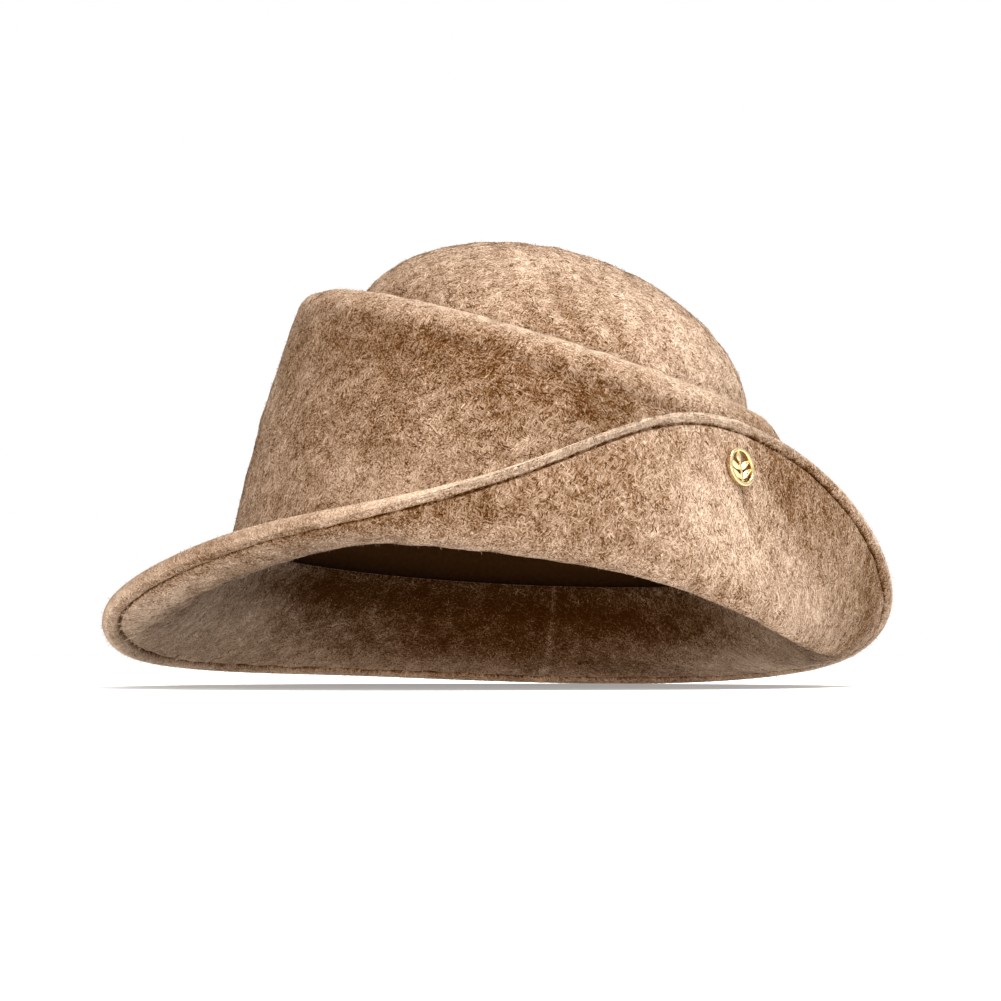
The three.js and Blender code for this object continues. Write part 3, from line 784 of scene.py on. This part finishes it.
# Ring: a squarish oval carried round a circle
def emblemRing():
    bends = np.arange(emblem["ringAround"]) / emblem["ringAround"] * fullTurn
    turn, bend = spread(emblem["ringRounds"], bends)

    def squared(wave):
        return np.sign(wave) * np.abs(wave) ** emblem["squareness"]

    out = emblem["ringMiddle"] + emblem["ringHalf"] * squared(np.cos(bend))
    height = emblem["ringHeight"] / 2 * (1 + squared(np.sin(bend)))
    quads = gridFaces(emblem["ringRounds"], emblem["ringAround"])
    points = np.stack([out * np.cos(turn), out * np.sin(turn), height], -1).reshape(-1, 3)
    return points, np.concatenate([quads[:, [0, 1, 2]], quads[:, [0, 2, 3]]])


# Leaves: each as wide as a parabola along its length, domed on top with a sunk midrib, flat
# below, and long enough to end inside the ring
def emblemLeaves():
    along = np.linspace(*emblem["leafEnds"], emblem["leafStations"])[:, None]
    across = np.linspace(1, -1, emblem["leafAcross"])[None, :]
    bulge = 4 * along * (1 - along)
    domed = (1 - np.abs(across) ** emblem["leafPower"]) * np.sqrt(bulge)
    top = emblem["leafHeight"] * (emblem["edgeShare"] + (1 - emblem["edgeShare"]) * domed)
    top = top - emblem["midribDepth"] * np.exp(-(across / emblem["midribHalf"]) ** 2) * bulge
    width = emblem["leafHalf"] * bulge * across
    width = np.concatenate([width, width[:, ::-1]], axis=1)
    height = np.concatenate([top, 0 * top], axis=1)
    rings = []
    for place, rise in emblem["leaves"]:
        cos, sin = np.cos(np.radians(rise)), np.sin(np.radians(rise))
        climb = place * sin
        length = np.sqrt(climb ** 2 + emblem["ringMiddle"] ** 2 - place ** 2) - climb
        reach = length * along + 0 * width
        rings.append(np.stack([reach * cos - width * sin, place + reach * sin + width * cos, height], -1))
    return closedTubes(np.stack(rings))


# Stem: an oval rod up the ring's middle
def emblemStem():
    angles = np.arange(emblem["around"]) / emblem["around"] * fullTurn
    reach = np.linspace(-emblem["ringMiddle"], emblem["ringMiddle"], emblem["stemStations"])[:, None]
    reach = reach + 0 * angles
    x = emblem["stemHalf"] * np.sin(angles) + 0 * reach
    z = emblem["stemHeight"] / 2 * (1 + np.cos(angles)) + 0 * reach
    return closedTubes(np.stack([x, reach, z], -1)[None])


# Post and washer: a profile turned round the emblem's own outward axis
def emblemPost():
    front = -(emblem["faceGap"] + felt["wall"] + emblem["backGap"])
    back = front - emblem["washerThickness"]
    rim, rounding = emblem["washerRadius"], emblem["washerRound"]
    profile = np.array([(back, rim - rounding), (back + rounding, rim), (front - rounding, rim),
                        (front, rim - rounding), (front, emblem["postRadius"]),
                        (emblem["stemHeight"] / 2, emblem["postRadius"])])
    angles = np.arange(emblem["around"]) / emblem["around"] * fullTurn
    height, radius = profile[:, :1] + 0 * angles, profile[:, 1:]
    return closedTubes(np.stack([radius * np.cos(angles), radius * np.sin(angles), height], -1)[None])


# Polished gilt: a fine noise of wear sets its colour and adds to its roughness
def giltFinish():
    made = Finish("gilt", Metallic=1.0)
    wear = made.noise(gilt["wearScale"], detail=gilt["wearDetail"])
    made.feed(Base_Color=made.ramp(wear, gilt["stops"]),
              Roughness=gilt["roughness"] + gilt["wearRoughness"] * wear)
    return made.material


parts = [emblemRing(), emblemLeaves(), emblemStem(), emblemPost()]
starts = np.cumsum([0] + [len(points) for points, _ in parts[:-1]])
points = np.concatenate([points for points, _ in parts])
faces = np.concatenate([faces + start for (_, faces), start in zip(parts, starts)])
turn, share = np.array([emblem["turn"]]), np.array([emblem["along"]])
along, outward, _ = brimFrame(turn, share)
axes = np.concatenate([np.cross(along, outward), along, outward])
seat = brimMiddle(turn, share) + outward * (felt["wall"] / 2 + emblem["faceGap"])
badge = meshPiece("leaf_emblem", seat + points @ axes, faces)
badge.data.set_sharp_from_angle(angle=emblem["sharp"])
badge.data.materials.append(giltFinish())
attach(badge, "root")
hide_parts("emblem")
print("emblem made")

# Pale floor, a square of matt paint
ground = dict(reach=14.0, roughness=0.9, glowColour=(1.0, 1.0, 1.0, 1.0), glow=0.3, grainScale=6.0,
              stops=[(0.0, (0.69, 0.69, 0.69)), (1.0, (0.71, 0.71, 0.71))])
data = bpy.data.meshes.new("pale_floor")
reach = ground["reach"]
corners = [(-reach, -reach, 0), (reach, -reach, 0), (reach, reach, 0), (-reach, reach, 0)]
data.from_pydata(corners, [], [(0, 1, 2, 3)])
floorPaint = Finish("pale floor", Roughness=ground["roughness"], Emission_Color=ground["glowColour"],
                    Emission_Strength=ground["glow"])
grain = floorPaint.noise(ground["grainScale"])
floorPaint.feed(Base_Color=floorPaint.ramp(grain, ground["stops"]))
data.materials.append(floorPaint.material)
floor = bpy.data.objects.new("pale_floor", data)
bpy.context.scene.collection.objects.link(floor)

# Soft lights: place, size, power and colour of each, all aimed at the crown
lights = dict(
    key=dict(at=(0.6, -0.45, 1.6), width=0.9, height=0.9, power=54, colour=(1.0, 0.98, 0.96)),
    front=dict(at=(-0.3, -1.9, 0.10), width=1.6, height=0.16, power=22, colour=(1.0, 0.70, 0.43)),
    back=dict(at=(-0.3, 1.3, 1.4), width=1.0, height=1.0, power=14, colour=(1.0, 1.0, 1.0)),
)
aim = Vector((0.0, 0.0, 0.07))
for name, light in lights.items():
    data = bpy.data.lights.new(name, "AREA")
    data.shape = "RECTANGLE"
    data.size = light["width"]
    data.size_y = light["height"]
    data.energy = light["power"]
    data.color = light["colour"]
    lamp = bpy.data.objects.new(name, data)
    lamp.location = light["at"]
    lamp.rotation_euler = (aim - lamp.location).to_track_quat("-Z", "Y").to_euler()
    bpy.context.scene.collection.objects.link(lamp)

# White room all round
room = dict(colour=(1.0, 1.0, 1.0, 1.0), strength=1.0)
world = bpy.data.worlds.new("white room")
world.use_nodes = True
backdrop = world.node_tree.nodes["Background"]
backdrop.inputs["Color"].default_value = room["colour"]
backdrop.inputs["Strength"].default_value = room["strength"]
bpy.context.scene.world = world
bpy.context.scene.view_settings.view_transform = "Standard"

# Camera at the photo's angle, just above the floor
view = dict(at=(0.0, -1200.0, 10.0), pitch=2.29, focal=3840, image=1001, sensor=36.0)
data = bpy.data.cameras.new("camera")
data.sensor_width = view["sensor"]
data.lens = view["focal"] / view["image"] * view["sensor"]
camera = bpy.data.objects.new("camera", data)
camera.location = (np.array(view["at"]) + hatPlace["standing"]) * hatPlace["metre"]
camera.rotation_euler = (quarterTurn + np.radians(view["pitch"]), 0, 0)
bpy.context.scene.collection.objects.link(camera)
bpy.context.scene.camera = camera
print("stage, lights and camera set")
